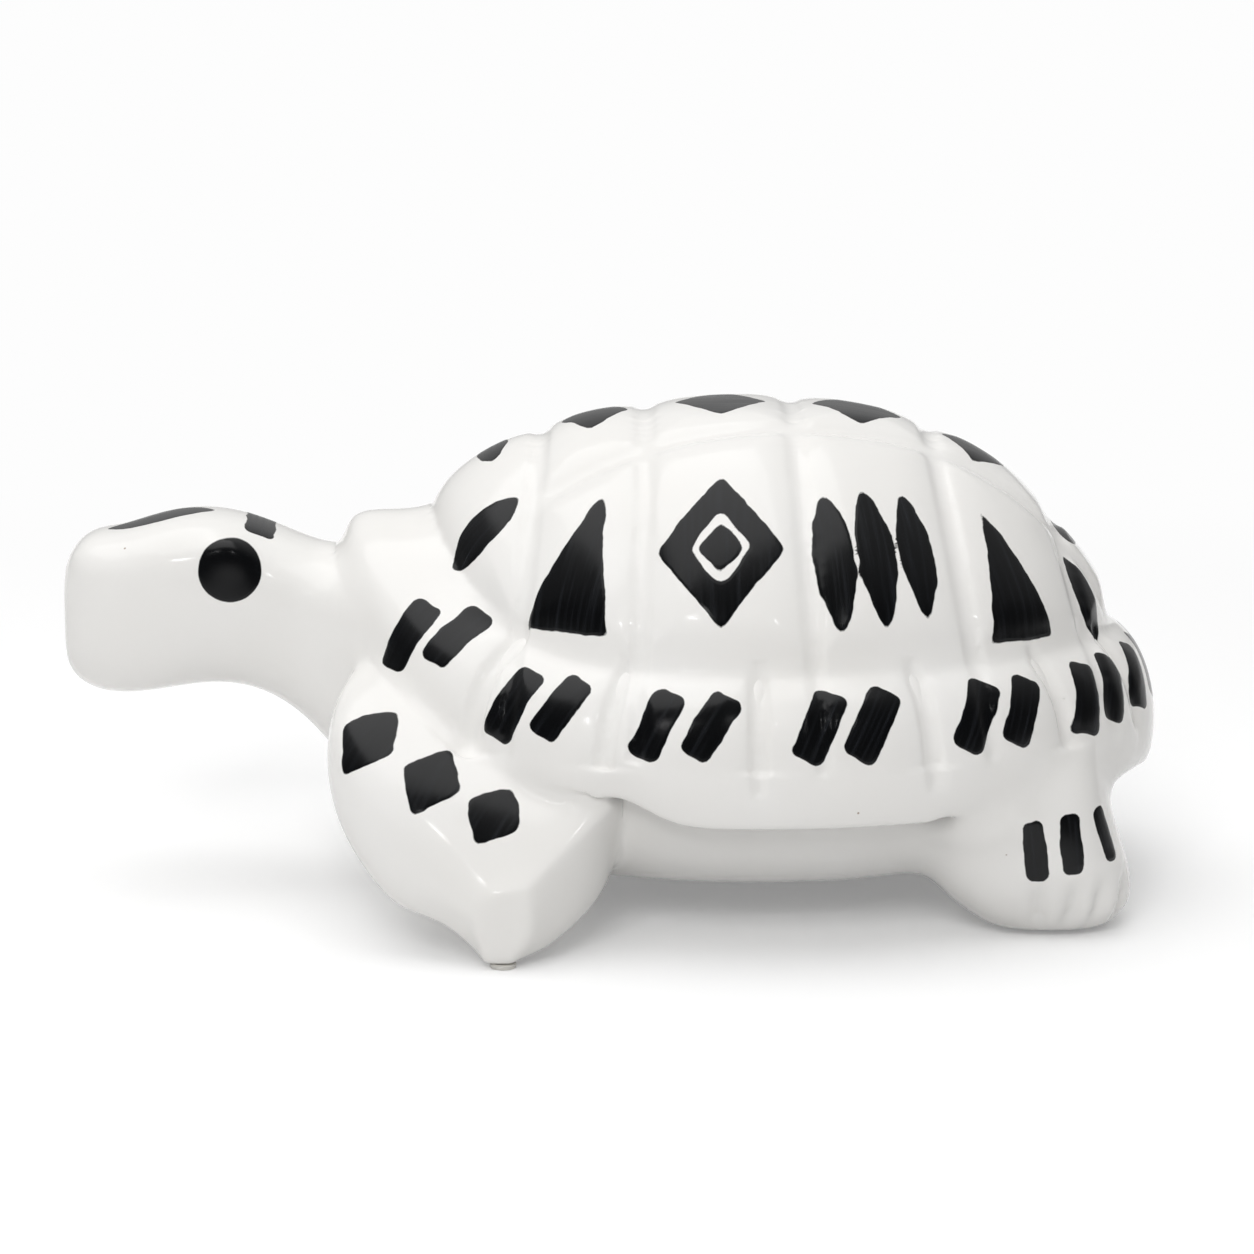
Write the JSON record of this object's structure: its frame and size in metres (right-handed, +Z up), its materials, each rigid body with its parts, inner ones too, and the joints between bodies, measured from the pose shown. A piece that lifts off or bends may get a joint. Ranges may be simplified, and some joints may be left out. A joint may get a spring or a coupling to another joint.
{
  "type": "ceramic turtle figurine",
  "caption": "Standing turtle ornament in glazed ceramic: domed scuted shell with a front collar, blocky head, paddle flippers, stump rear feet and a hollow body vented through the belly.",
  "frame": {"origin": "on the floor, under the middle of the figure's length and width", "axes": "+Z up, -X towards the snout, -Y towards the turtle's own left side"},
  "size_m": [0.279, 0.172, 0.1256],
  "materials": {
    "glaze": "white glossy glaze with brushed black marks",
    "felt": "pressed wool felt, off-white"
  },
  "bodies": {
    "root": {"carapace": "glaze", "plastron": "glaze", "head_and_neck": "glaze", "front_left_flipper": "glaze", "front_right_flipper": "glaze", "rear_left_foot": "glaze", "rear_right_foot": "glaze", "front_left_pad": "felt", "front_right_pad": "felt", "rear_left_pad": "felt", "rear_right_pad": "felt"}
  },
  "joints": []
}
